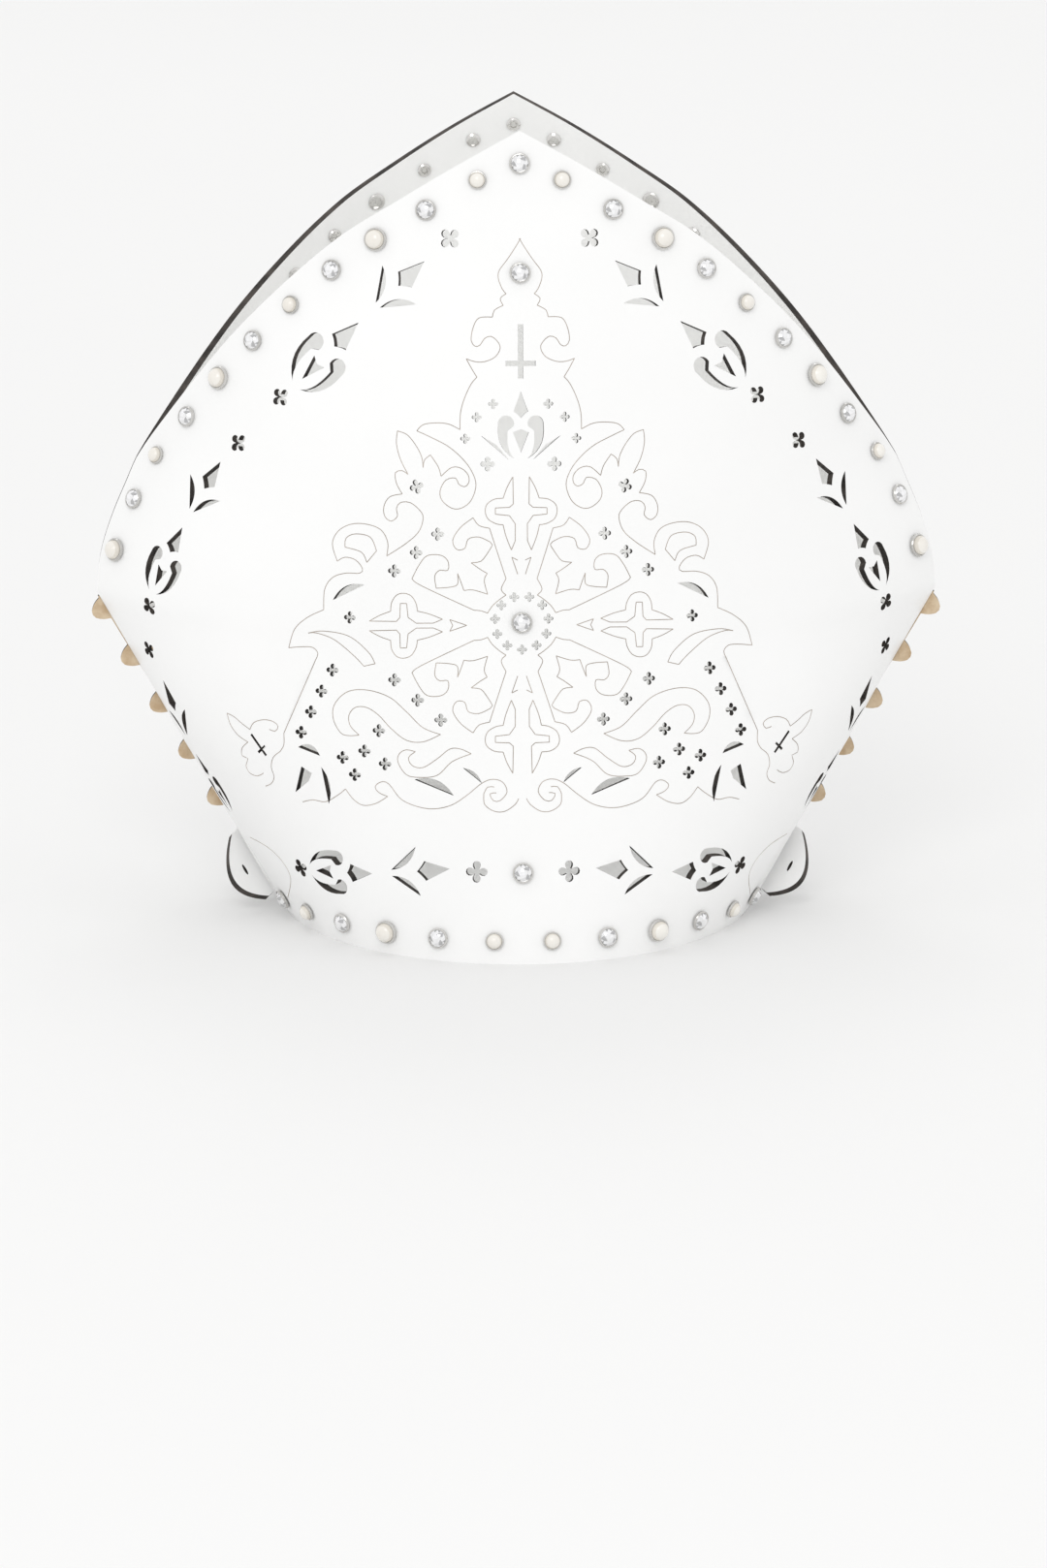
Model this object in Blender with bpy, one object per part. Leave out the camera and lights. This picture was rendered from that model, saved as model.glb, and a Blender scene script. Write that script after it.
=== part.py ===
"""Bishop mitre: two pierced panels of stiff white leather, joined along their side seams.

Metres, +Z up. The front looks along -Y, and the origin is on the rim's plane, midway between the sides.
"""
import math

import bmesh
import bpy
import numpy as np
from mathutils import Vector
from mathutils.geometry import delaunay_2d_cdt

# Overall form
RIM_HALF_WIDTH = 0.090
RIM_HALF_DEPTH = 0.103
SHOULDER_HALF_WIDTH = 0.161
SHOULDER_HEIGHT = 0.121
APEX_HEIGHT = 0.305
APEX_HALF_DEPTH = 0.044
LEATHER = 0.003
CLEARANCE = 0.0004

# Side strips and their teeth
STRIP_THICKNESS = 0.0022
STRIP_INNER_MARGIN = 0.007
STRIP_BOTTOM = 0.036
STRIP_TOP = 0.119
TOOTH_COUNT = 5
TOOTH_BASE = 0.0095
TOOTH_REACH = 0.0055

# Ear flaps: leaves folded out at the lower corners
FLAP_BOTTOM = 0.007
FLAP_TOP = 0.028
FLAP_REACH = 0.015
FLAP_FORWARD = 0.017
FLAP_TURN = 1.2
FLAP_THICKNESS = 0.0026

# Studs
STUD_SIDES = 10
STUD_INSET = 0.0085
STUD_ORDER = ["small pearl", "crystal", "large pearl", "crystal"]
FIRST_STUD_DROP = 0.012
EDGE_STUDS = 11
EDGE_STUD_GAP = 0.0208
RIM_STUDS = 6
RIM_STUD_HEIGHT = 0.0085
RIM_STUD_GAP = 0.015
STONE_RADIUS = {"crystal": 0.0037, "small pearl": 0.0033, "large pearl": 0.0042}
POST_RADIUS = 0.0012
POST_HOLE_SIDES = 6
RIVET_RADIUS = 0.0026

# Ornament sizes, and how far its layout is lifted and drawn in
ORNAMENT_RISE = 0.0025
ORNAMENT_SPREAD = 0.97
QUATREFOIL = 0.0056
SPEAR_LENGTH = 0.0245
HEART_LENGTH = 0.0335
CROSS_HEIGHT = 0.0202
CROSS_WIDTH = 0.0112
CROSS_BAR = 0.002
CROSS_ARM_RISE = 0.28
CRESCENT_LENGTH = 0.0145
SLIVER_LENGTH = 0.009
CORNER_LENGTH = 0.014
LILY_LENGTH = 0.025
CURVE_STEPS = 2
GRID_PITCH = 0.018
LEAST_MARGIN = 0.0045

# The walls' side line above the shoulder: up is a share of the height from shoulder to apex,
# across a share of the shoulder's half width
SIDE_ROWS = [
    # up, across
    (0.00, 1.000), (0.08, 0.990), (0.16, 0.962), (0.25, 0.919), (0.34, 0.878), (0.67, 0.763), (1.00, 0.647),
]
# The free edge, with the same two columns
EDGE_ROWS = [
    # up, across
    (0.00, 1.000), (0.05, 0.994), (0.14, 0.968), (0.25, 0.915), (0.34, 0.853), (0.54, 0.686),
    (0.67, 0.551), (0.78, 0.412), (0.85, 0.292), (0.93, 0.144), (1.00, 0.000),
]
# Pierced motifs of the left half: up is a share of the apex height, across a share of the wall's
# run from the centre line to its edge at that height, turn is in degrees from upright
BORDER_MOTIFS = [
    # kind, across, up, turn, scale
    ("quatrefoil", 0.400, 0.862, 45, 1.50), ("spear", 0.520, 0.806, -45, 1.00),
    ("heart", 0.640, 0.716, -43, 1.03), ("quatrefoil", 0.707, 0.659, 45, 1.35),
    ("quatrefoil", 0.750, 0.598, 50, 1.35), ("spear", 0.782, 0.541, -27, 0.92),
    ("heart", 0.828, 0.446, -23, 0.85), ("quatrefoil", 0.865, 0.385, 30, 1.30),
    ("quatrefoil", 0.925, 0.325, 30, 1.30), ("spear", 0.900, 0.254, 14, 0.95),
    ("heart", 0.885, 0.160, 20, 0.78),
]
BOTTOM_MOTIFS = [
    # kind, across, up, turn, scale
    ("quatrefoil", 0.609, 0.080, 20, 1.35), ("heart", 0.475, 0.086, -84, 0.88),
    ("spear", 0.251, 0.100, -82, 0.95), ("quatrefoil", 0.111, 0.103, 0, 1.50),
]
MEDALLION_MOTIFS = [
    # kind, across, up, turn, scale
    ("quatrefoil", 0.078, 0.665, 0, 0.70), ("quatrefoil", 0.121, 0.649, 0, 0.70),
    ("quatrefoil", 0.145, 0.623, 0, 0.70), ("quatrefoil", 0.082, 0.593, 0, 1.00),
    ("quatrefoil", 0.247, 0.564, 20, 1.00), ("crescent", 0.372, 0.433, 118, 0.95),
    ("quatrefoil", 0.366, 0.403, 0, 0.85), ("crescent", 0.200, 0.203, 70, 1.10),
    ("sliver", 0.112, 0.219, 52, 1.00), ("corner", 0.500, 0.207, 0, 1.00),
    ("quatrefoil", 0.316, 0.269, 0, 0.90), ("quatrefoil", 0.353, 0.243, 0, 0.90),
    ("quatrefoil", 0.406, 0.233, 0, 0.90), ("quatrefoil", 0.382, 0.213, 0, 0.90),
    ("quatrefoil", 0.308, 0.229, 0, 0.90),
]
# Rows of small quatrefoils: from and to are (across, up)
QUATREFOIL_ROWS = [
    # count, from, to
    (3, (0.187, 0.508), (0.276, 0.462)),
    (3, (0.275, 0.331), (0.177, 0.285)),
    (4, (0.413, 0.338), (0.500, 0.259)),
]
# Stations of the centre line's pieces, as shares of the apex height
CENTRE_CRYSTALS = (0.822, 0.403, 0.102)
CROSS_PLACE = 0.728
LILY_PLACE = 0.640
# Outline of the lily under the cross, all in shares of its length
LILY_KITE = {"tip": 1.00, "shoulder": 0.70, "half": 0.11, "base": 0.60}
SPEAR_KITE = {"tip": 1.00, "shoulder": 0.59, "half": 0.16, "base": 0.45}
HEART_KITE = {"tip": 1.00, "shoulder": 0.69, "half": 0.12, "base": 0.62}


def along_rows(rows, up):
    """The second column of a table, on a smooth curve through its rows."""
    ups = [row[0] for row in rows]
    values = [row[1] for row in rows]
    up = min(max(up, ups[0]), ups[-1])
    i = min(sum(u < up for u in ups[1:]), len(rows) - 2)

    def slope(k):
        low, high = max(k - 1, 0), min(k + 1, len(rows) - 1)
        return (values[high] - values[low]) / (ups[high] - ups[low])

    span = ups[i + 1] - ups[i]
    t = (up - ups[i]) / span
    blend = t * t * (3 - 2 * t)
    rise = span * (slope(i) * t * (1 - t) ** 2 - slope(i + 1) * t * t * (1 - t))
    return values[i] + (values[i + 1] - values[i]) * blend + rise


def upper_share(z):
    return (z - SHOULDER_HEIGHT) / (APEX_HEIGHT - SHOULDER_HEIGHT)


def half_depth(z):
    return RIM_HALF_DEPTH + (APEX_HALF_DEPTH - RIM_HALF_DEPTH) * z / APEX_HEIGHT


def half_width(z):
    if z <= SHOULDER_HEIGHT:
        return RIM_HALF_WIDTH + (SHOULDER_HALF_WIDTH - RIM_HALF_WIDTH) * z / SHOULDER_HEIGHT
    return SHOULDER_HALF_WIDTH * along_rows(SIDE_ROWS, upper_share(z))


def section(z, steps=120):
    """Half of the front wall's level section: a quarter ellipse at the rim, an arc at the shoulder."""
    width, depth = half_width(z), half_depth(z)
    rise = min(max(2 * z / SHOULDER_HEIGHT - 1, 0), 1)
    rise = rise * rise * (3 - 2 * rise)
    angle = math.pi / 2 + (2 * math.atan2(depth, width) - math.pi / 2) * rise
    t = np.linspace(0, 1, steps + 1)
    start, middle, end = (1 - t) ** 2, 2 * t * (1 - t) * math.cos(angle / 2), t * t
    weight = start + middle + end
    x = (middle * (width - depth / math.tan(angle)) + end * width) / weight
    y = -depth * (start + middle) / weight
    run = np.concatenate([[0], np.cumsum(np.hypot(np.diff(x), np.diff(y)))])
    return x, y, run


def wall_point(s, z):
    """Point of the front wall's outer face, s along the level section from the centre line."""
    x, y, run = section(z)
    return Vector((math.copysign(np.interp(abs(s), run, x), s), np.interp(abs(s), run, y), z))


def wall_frame(s, z, step=0.0005):
    """Unit vectors along the section and up the wall, the inward normal, and the lean of s and z."""
    side = (wall_point(s + step, z) - wall_point(s - step, z)).normalized()
    low = max(z - step, 0)
    climb = (wall_point(s, low + 2 * step) - wall_point(s, low)) / (2 * step)
    lean = climb.dot(side)
    up = climb - side * lean
    return side, up.normalized(), up.normalized().cross(side), lean, up.length


def on_wall(centre, points, turn=0.0):
    """Turn a flat outline and lay it on the wall round a centre, as (s, z) pairs."""
    _, _, _, lean, climb = wall_frame(*centre)
    cos, sin = math.cos(turn), math.sin(turn)
    out = []
    for x, y in points:
        across, up = x * cos - y * sin, x * sin + y * cos
        out.append((centre[0] + across - up * lean / climb, centre[1] + up / climb))
    return out


def seam_run(z):
    """Length of the section up to the side strip."""
    _, y, run = section(z)
    return float(np.interp(-STRIP_THICKNESS / 2 - CLEARANCE, y, run))


def edge_run(z):
    """Length of the section up to the panel's side edge, seam or free."""
    if z <= SHOULDER_HEIGHT:
        return seam_run(z)
    x, _, run = section(z)
    edge = SHOULDER_HALF_WIDTH * along_rows(EDGE_ROWS, upper_share(z))
    return min(float(np.interp(edge, x, run)), seam_run(z))


def edge_path():
    """The free edge from apex to shoulder, left half, as (s, z) pairs."""
    return [(-edge_run(z), z) for z in np.linspace(APEX_HEIGHT, SHOULDER_HEIGHT, 120)]


def panel_outline():
    """The panel's left half from rim centre to apex, then the right half, with no point twice."""
    rim = [(-seam_run(0) * i / 14, 0.0) for i in range(15)]
    seam = [(-seam_run(SHOULDER_HEIGHT * i / 9), SHOULDER_HEIGHT * i / 9) for i in range(1, 10)]
    free = []
    for i in range(1, 25):
        share = math.sin(math.pi / 2 * i / 24)
        z = SHOULDER_HEIGHT + (APEX_HEIGHT - SHOULDER_HEIGHT) * share
        free.append((-edge_run(z), z))
    left = rim + seam + free
    return left + [(-s, z) for s, z in reversed(left[1:-1])]


def bend(start, pull, end, steps=CURVE_STEPS):
    """Points of a curve from start towards end, drawn to pull, without the end."""
    out = []
    for i in range(steps):
        t = i / steps
        out.append(tuple((1 - t) ** 2 * a + 2 * t * (1 - t) * b + t * t * c
                         for a, b, c in zip(start, pull, end)))
    return out


def quatrefoil(size):
    """Four pointed leaves round a waist."""
    out = []
    for k in range(8):
        reach = size / 2 if k % 2 == 0 else size * 0.17
        out.append((reach * math.sin(math.pi / 4 * k), reach * math.cos(math.pi / 4 * k)))
    return out


def kite(rows, length):
    """A pointed blade, its widest place given by the shoulder."""
    tip, shoulder = (0, rows["tip"] * length), rows["shoulder"] * length
    half, base = rows["half"] * length, (0, rows["base"] * length)
    dip = ((rows["shoulder"] + rows["base"]) / 2 + 0.02) * length
    points = [tip] + bend((-half, shoulder), (-half * 0.6, dip), base)
    return points + bend(base, (half * 0.6, dip), (half, shoulder)) + [(half, shoulder)]


def crescent(start, end, bulge):
    """A straight side from start to end, and an arched one back."""
    across = (end[1] - start[1], start[0] - end[0])
    middle = [(a + b) / 2 + 2 * bulge * c for a, b, c in zip(start, end, across)]
    return [start] + bend(end, middle, start, 2 * CURVE_STEPS)


def comma(length, side, head=(0.193, 0.49), radius=0.10, tail=(0.065, 0.0)):
    """A round head whose tail sweeps in to the motif's foot."""
    points = [(head[0] + radius * math.cos(a), head[1] + radius * math.sin(a))
              for a in np.linspace(0.2, math.pi * 1.1, 3 + CURVE_STEPS)]
    points += bend((head[0] - 0.2 * radius, head[1] - 0.9 * radius), (head[0], 0.2 * head[1]), tail)
    points += bend(tail, (head[0] + 1.3 * radius, 0.28 * head[1]), (head[0] + radius, head[1] - 0.02))
    points = [(side * x * length, y * length) for x, y in points]
    return points if side > 0 else points[::-1]


def scaled(points, size):
    return [(x * size, y * size) for x, y in points]


def motif(kind, scale):
    """The outlines cut through the leather for one motif, upright and round its own centre."""
    if kind == "quatrefoil":
        return [quatrefoil(QUATREFOIL * scale)]
    if kind == "crescent":
        return [scaled(crescent((0, -0.5), (0, 0.5), 0.19), CRESCENT_LENGTH * scale)]
    if kind == "sliver":
        return [scaled(crescent((0, -0.5), (0, 0.5), 0.16), SLIVER_LENGTH * scale)]
    if kind == "corner":
        return [scaled(crescent((0.36, 0.55), (-0.30, 0.72), 0.28), CORNER_LENGTH),
                scaled(crescent((0.62, -0.75), (0.40, 0.25), 0.15), CORNER_LENGTH),
                scaled([(-0.20, 0.20), (0.12, 0.05), (0.02, -0.18), (-0.42, -0.55)], CORNER_LENGTH)]
    if kind == "spear":
        size = SPEAR_LENGTH * scale
        parts = [kite(SPEAR_KITE, size), scaled(crescent((0.05, 0.01), (0.40, 0.47), -0.18), size),
                 scaled(crescent((-0.40, 0.47), (-0.05, 0.01), -0.18), size)]
    elif kind == "heart":
        size = HEART_LENGTH * scale
        parts = [kite(HEART_KITE, size), comma(size, 1), comma(size, -1),
                 scaled([(0, 0.10), (0.09, 0.38), (0, 0.34), (-0.09, 0.38)], size)]
    else:
        size = LILY_LENGTH * scale
        head = {"head": (0.22, 0.52), "radius": 0.12, "tail": (0.10, 0.0)}
        parts = [kite(LILY_KITE, size), comma(size, 1, **head), comma(size, -1, **head),
                 scaled([(0, 0.087), (0.12, 0.39), (0, 0.437), (-0.12, 0.39)], size)]
    return [[(x, y - size / 2) for x, y in points] for points in parts]


def stud_places():
    """Every stud of the front as (kind, s, z)."""
    path = edge_path()
    run = np.concatenate([[0], np.cumsum([math.dist(a, b) for a, b in zip(path, path[1:])])])

    def edge_at(distance):
        return [float(np.interp(distance, run, [p[i] for p in path])) for i in (0, 1)]

    places = [("crystal", 0.0, APEX_HEIGHT - FIRST_STUD_DROP)]
    pitch = (run[-1] - EDGE_STUD_GAP) / EDGE_STUDS
    for k in range(1, EDGE_STUDS + 1):
        here = edge_at(k * pitch)
        ahead = edge_at(k * pitch + STUD_INSET / 4)
        heading = Vector((ahead[0] - here[0], ahead[1] - here[1])).normalized() * STUD_INSET
        s, z = on_wall(here, [(-heading.y, heading.x)])[0]
        kind = STUD_ORDER[(k - 1) % len(STUD_ORDER)]
        places += [(kind, side * s, z) for side in (1, -1)]
    pitch = (seam_run(0) - FLAP_FORWARD - RIM_STUD_GAP) / (RIM_STUDS - 0.5)
    for k in range(RIM_STUDS):
        kind = STUD_ORDER[k % len(STUD_ORDER)]
        places += [(kind, side * (k + 0.5) * pitch, RIM_STUD_HEIGHT) for side in (1, -1)]
    return places + [("crystal", *place(0, up)) for up in CENTRE_CRYSTALS]


def place(across, up):
    """A station of the layout as (s, z) on the left half."""
    z = up * APEX_HEIGHT + ORNAMENT_RISE
    return -across * ORNAMENT_SPREAD * edge_run(z), z


def ornament():
    """Every outline pierced through a panel, both halves."""
    rows = BORDER_MOTIFS + BOTTOM_MOTIFS + MEDALLION_MOTIFS
    for count, start, end in QUATREFOIL_ROWS:
        for i in range(count):
            across, up = [a + (b - a) * i / (count - 1) for a, b in zip(start, end)]
            rows = rows + [("quatrefoil", across, up, 0, 0.9)]
    loops = []
    for kind, across, up, turn, scale in rows:
        for outline in motif(kind, scale):
            left = on_wall(place(across, up), outline, math.radians(turn))
            loops += [left, [(-s, z) for s, z in reversed(left)]]
    bar, half, low, high = CROSS_BAR / 2, CROSS_WIDTH / 2, -CROSS_HEIGHT / 2, CROSS_HEIGHT / 2
    arm = low + CROSS_HEIGHT * CROSS_ARM_RISE
    cross = [(-bar, high), (-bar, arm + bar), (-half, arm + bar), (-half, arm - bar), (-bar, arm - bar),
             (-bar, low), (bar, low), (bar, arm - bar), (half, arm - bar), (half, arm + bar),
             (bar, arm + bar), (bar, high)]
    loops.append(on_wall(place(0, CROSS_PLACE), cross))
    loops += [on_wall(place(0, LILY_PLACE), outline) for outline in motif("lily", 1)]
    return loops


def inside(points, loop):
    """For each point, whether it lies within a closed outline."""
    x, y = points[:, 0], points[:, 1]
    hit = np.zeros(len(points), bool)
    for (x0, y0), (x1, y1) in zip(loop, loop[1:] + loop[:1]):
        if y0 != y1:
            hit ^= ((y0 > y) != (y1 > y)) & (x < (x1 - x0) * (y - y0) / (y1 - y0) + x0)
    return hit


def panel_triangles(outline, holes):
    """Flat points and triangles of a panel, with its holes left open."""
    loops = [outline] + holes
    points, edges = [], []
    for loop in loops:
        first = len(points)
        points += loop
        edges += [(first + i, first + (i + 1) % len(loop)) for i in range(len(loop))]
    lines = np.array([(points[a], points[b]) for a, b in edges])
    start, way = lines[:, 0], lines[:, 1] - lines[:, 0]
    reach = max(s for s, _ in outline)
    columns, rows = int(2 * reach / GRID_PITCH), int(APEX_HEIGHT / GRID_PITCH)
    for row in range(1, rows + 1):
        for column in range(columns + 1):
            spot = np.array([(column + 0.5 * (row % 2) - columns / 2) * GRID_PITCH, row * GRID_PITCH])
            if not inside(spot[None], outline)[0]:
                continue
            t = np.clip(((spot - start) * way).sum(1) / (way * way).sum(1), 0, 1)
            gap = np.hypot(*(spot - start - way * t[:, None]).T).min()
            if gap > LEAST_MARGIN and not any(inside(spot[None], hole)[0] for hole in holes):
                points.append(tuple(spot))
    flat, _, faces, _, _, _ = delaunay_2d_cdt([Vector(p) for p in points], edges, [], 0, 1e-7)
    flat = np.array([tuple(p) for p in flat])
    middles = np.array([flat[list(face)].mean(0) for face in faces])
    keep = inside(middles, outline)
    for hole in holes:
        keep &= ~inside(middles, hole)
    return flat, [face for face, kept in zip(faces, keep) if kept]


def clear_of_seam(point):
    """Hold a point of the front panel on its own side of the strip between the panels."""
    return Vector((point.x, min(point.y, -STRIP_THICKNESS / 2 - CLEARANCE), point.z))


def new_object(name, bm, material):
    """Link one closed piece, with its faces out."""
    bmesh.ops.recalc_face_normals(bm, faces=bm.faces)
    mesh = bpy.data.meshes.new(name)
    bm.to_mesh(mesh)
    bm.free()
    mesh.materials.append(material)
    piece = bpy.data.objects.new(name, mesh)
    bpy.context.scene.collection.objects.link(piece)
    return piece


def panel(name, side, material, holes):
    """A wall of leather: side is 1 for the front and -1 for the back."""
    flat, faces = panel_triangles(panel_outline(), holes)
    bm = bmesh.new()
    outer, inner = [], []
    for s, z in flat:
        spot = wall_point(s, z)
        level = wall_frame(s, z)[2]
        deep = spot + level * LEATHER
        deep.z = max(deep.z, 0) if z > 0 else 0
        for point, layer in ((spot, outer), (deep, inner)):
            point = clear_of_seam(point)
            layer.append(bm.verts.new((point.x, side * point.y, point.z)))
    rims = {}
    for face in faces:
        bm.faces.new([outer[i] for i in face])
        bm.faces.new([inner[i] for i in reversed(face)])
        for a, b in zip(face, face[1:] + face[:1]):
            if rims.pop((b, a), None) is None:
                rims[(a, b)] = True
    for a, b in rims:
        bm.faces.new((outer[b], outer[a], inner[a], inner[b]))
    bmesh.ops.triangulate(bm, faces=bm.faces)
    return new_object(name, bm, material)


def side_strip(name, side, material):
    """A flat strip in the seam, with a row of rounded teeth standing out of it."""
    pitch = (STRIP_TOP - STRIP_BOTTOM - TOOTH_BASE) / (TOOTH_COUNT - 1)
    lean = (SHOULDER_HALF_WIDTH - RIM_HALF_WIDTH) / SHOULDER_HEIGHT
    out = Vector((1, -lean)).normalized()
    along = Vector((lean, 1)).normalized()
    edge = [Vector((half_width(STRIP_BOTTOM) - CLEARANCE, STRIP_BOTTOM))]
    for k in range(TOOTH_COUNT):
        middle = STRIP_BOTTOM + TOOTH_BASE / 2 + k * pitch
        root = Vector((half_width(middle) - CLEARANCE, middle))
        for share, reach in ((-0.5, 0), (-0.36, 0.5), (-0.14, 0.94), (0.14, 0.94), (0.36, 0.5), (0.5, 0)):
            spot = root + along * share * TOOTH_BASE * 0.98 + out * reach * TOOTH_REACH
            edge.append(spot)
    edge.append(Vector((half_width(STRIP_TOP) - CLEARANCE, STRIP_TOP)))
    edge = [spot for i, spot in enumerate(edge) if i == 0 or (spot - edge[i - 1]).length > CLEARANCE]
    inner = [Vector((half_width(z) - LEATHER - STRIP_INNER_MARGIN, z)) for z in (STRIP_TOP, STRIP_BOTTOM)]
    bm = bmesh.new()
    front = [bm.verts.new((side * p.x, -STRIP_THICKNESS / 2, p.y)) for p in edge + inner]
    face = bm.faces.new(front)
    moved = bmesh.ops.extrude_face_region(bm, geom=[face])["geom"]
    back = [v for v in moved if isinstance(v, bmesh.types.BMVert)]
    bmesh.ops.translate(bm, verts=back, vec=(0, STRIP_THICKNESS, 0))
    bmesh.ops.triangulate(bm, faces=bm.faces)
    return new_object(name, bm, material)


def ear_flap(name, side, material, rows=8):
    """Half of a leather leaf, folded outwards along a crease on the front panel's lower corner."""
    bm = bmesh.new()
    rings = []
    top = Vector((-seam_run(FLAP_TOP) + FLAP_THICKNESS, FLAP_TOP))
    foot = Vector((-seam_run(FLAP_BOTTOM) + FLAP_FORWARD, FLAP_BOTTOM))
    way = (wall_point(*foot) - wall_point(*top)).normalized()
    for i in range(rows + 1):
        share = i / rows
        s, z = top + (foot - top) * share
        normal = -wall_frame(s, z)[2]
        out = (normal + Vector((0, -FLAP_TURN, 0))).normalized()
        thick = way.cross(out).normalized() * (FLAP_THICKNESS / 2)
        reach = FLAP_REACH * math.sin(math.pi * (0.06 + 0.88 * share)) ** 0.8
        root = wall_point(s, z) + normal * (CLEARANCE + abs(thick.dot(normal)))
        ring = []
        for step in (0, 0.5, 1):
            bow = Vector((0, -0.12 * FLAP_REACH, 0)) * step * step
            ring.append(root + out * reach * step + bow)
        loop = [p + thick for p in ring] + [p - thick for p in reversed(ring)]
        rings.append([bm.verts.new((-side * p.x, p.y, max(p.z, 0.001))) for p in loop])
    for low, high in zip(rings, rings[1:]):
        for j in range(len(low)):
            k = (j + 1) % len(low)
            bm.faces.new((low[j], low[k], high[k], high[j]))
    bm.faces.new(rings[0])
    bm.faces.new(rings[-1])
    bmesh.ops.triangulate(bm, faces=bm.faces)
    return new_object(name, bm, material)


def stud_profile(kind):
    """Radius and height of each ring, from the tip of the rivet to the top of the stone."""
    radius = STONE_RADIUS[kind]
    under = -LEATHER - CLEARANCE
    rings = [(0, under - 0.45 * RIVET_RADIUS), (RIVET_RADIUS, under), (POST_RADIUS, under),
             (POST_RADIUS, CLEARANCE), (radius * 0.86, CLEARANCE), (radius, radius * 0.38)]
    if kind == "crystal":
        return rings + [(radius * 0.52, radius * 0.75)]
    return rings + [(radius * 0.74, radius * 0.80), (0, radius * 1.08)]


def stud(name, kind, s, z, material):
    """A stone in its cup, with the post and rivet that hold it through the leather."""
    bm = bmesh.new()
    across, up, level, _, _ = wall_frame(s, z)
    foot = wall_point(s, z)
    rings = []
    for radius, height in stud_profile(kind):
        centre = foot - level * height
        if radius == 0:
            rings.append([bm.verts.new(centre)])
            continue
        turns = [2 * math.pi * i / STUD_SIDES for i in range(STUD_SIDES)]
        rings.append([bm.verts.new(centre + radius * (across * math.cos(a) + up * math.sin(a))) for a in turns])
    for low, high in zip(rings, rings[1:]):
        for i in range(STUD_SIDES):
            j = (i + 1) % STUD_SIDES
            corners = [low[i % len(low)], low[j % len(low)], high[j % len(high)], high[i % len(high)]]
            bm.faces.new(list(dict.fromkeys(corners)))
    if len(rings[-1]) > 1:
        bm.faces.new(rings[-1])
    bmesh.ops.triangulate(bm, faces=bm.faces)
    return new_object(name, bm, material)


def material(name, colour, roughness, metallic=0.0):
    made = bpy.data.materials.new(name)
    made.use_nodes = True
    shader = made.node_tree.nodes["Principled BSDF"]
    shader.inputs["Base Color"].default_value = (*colour, 1)
    shader.inputs["Roughness"].default_value = roughness
    shader.inputs["Metallic"].default_value = metallic
    return made


def main():
    for piece in list(bpy.data.objects):
        bpy.data.objects.remove(piece)
    white = material("white leather", (0.90, 0.90, 0.89), 0.45)
    flap_white = material("flap leather", (0.86, 0.86, 0.84), 0.5)
    tan = material("flesh side leather", (0.72, 0.58, 0.42), 0.8)
    crystal = material("crystal in steel cup", (0.85, 0.86, 0.90), 0.05, 0.6)
    pearl = material("pearl in steel cup", (0.90, 0.87, 0.82), 0.25)
    studs = stud_places()
    corner = (POST_RADIUS + CLEARANCE) / math.cos(math.pi / POST_HOLE_SIDES)
    turns = [2 * math.pi * k / POST_HOLE_SIDES for k in range(POST_HOLE_SIDES)]
    post_hole = [(corner * math.cos(a), corner * math.sin(a)) for a in turns]
    stud_holes = [on_wall((s, z), post_hole) for _, s, z in studs]
    panel("front_panel", 1, white, ornament() + stud_holes)
    panel("back_panel", -1, white, [])
    for label, side in (("left", -1), ("right", 1)):
        side_strip("side_strip_" + label, side, tan)
        ear_flap("ear_flap_" + label, side, flap_white)
    counts = {"crystal": 0, "pearl": 0}
    for kind, s, z in studs:
        family = kind.split()[-1]
        counts[family] += 1
        stud(f"{family}_stud_{counts[family]:02d}", kind, s, z, crystal if family == "crystal" else pearl)


main()
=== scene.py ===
"""Looks of the bishop mitre: fine pierced leather, engraved scrolls, crystals and pearls in cups."""
import math

import bmesh
import bpy
import numpy as np
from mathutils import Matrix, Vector, kdtree
from mathutils.geometry import delaunay_2d_cdt


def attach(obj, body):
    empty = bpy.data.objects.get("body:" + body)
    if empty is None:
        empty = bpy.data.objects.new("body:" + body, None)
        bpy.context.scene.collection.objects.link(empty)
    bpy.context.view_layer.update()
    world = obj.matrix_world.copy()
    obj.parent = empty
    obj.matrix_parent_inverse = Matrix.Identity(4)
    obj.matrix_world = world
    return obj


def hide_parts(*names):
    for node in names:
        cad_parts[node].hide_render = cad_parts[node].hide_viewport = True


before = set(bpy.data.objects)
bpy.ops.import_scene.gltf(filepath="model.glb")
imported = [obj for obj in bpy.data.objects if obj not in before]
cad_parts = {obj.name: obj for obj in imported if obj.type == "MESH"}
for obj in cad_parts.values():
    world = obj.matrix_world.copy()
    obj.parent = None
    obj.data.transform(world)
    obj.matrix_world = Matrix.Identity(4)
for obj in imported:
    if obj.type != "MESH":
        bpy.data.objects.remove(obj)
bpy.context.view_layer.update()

# Form, as in the frame's solids, in metres
RIM_HALF_WIDTH = 0.090
RIM_HALF_DEPTH = 0.103
SHOULDER_HALF_WIDTH = 0.161
SHOULDER_HEIGHT = 0.121
APEX_HEIGHT = 0.305
APEX_HALF_DEPTH = 0.044
LEATHER = 0.003
CLEARANCE = 0.0004
STRIP_THICKNESS = 0.0022
STRIP_INNER_MARGIN = 0.007
STRIP_BOTTOM = 0.036
STRIP_TOP = 0.119
TOOTH_COUNT = 5
TOOTH_BASE = 0.0095
TOOTH_REACH = 0.0055
FLAP_BOTTOM = 0.007
FLAP_TOP = 0.028
FLAP_REACH = 0.015
FLAP_FORWARD = 0.017
FLAP_TURN = 1.2
FLAP_THICKNESS = 0.0026
FLAP_BOW = 0.12
STUD_INSET = 0.0085
STUD_ORDER = ["small pearl", "crystal", "large pearl", "crystal"]
FIRST_STUD_DROP = 0.012
EDGE_STUDS = 11
EDGE_STUD_GAP = 0.0208
RIM_STUDS = 6
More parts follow.
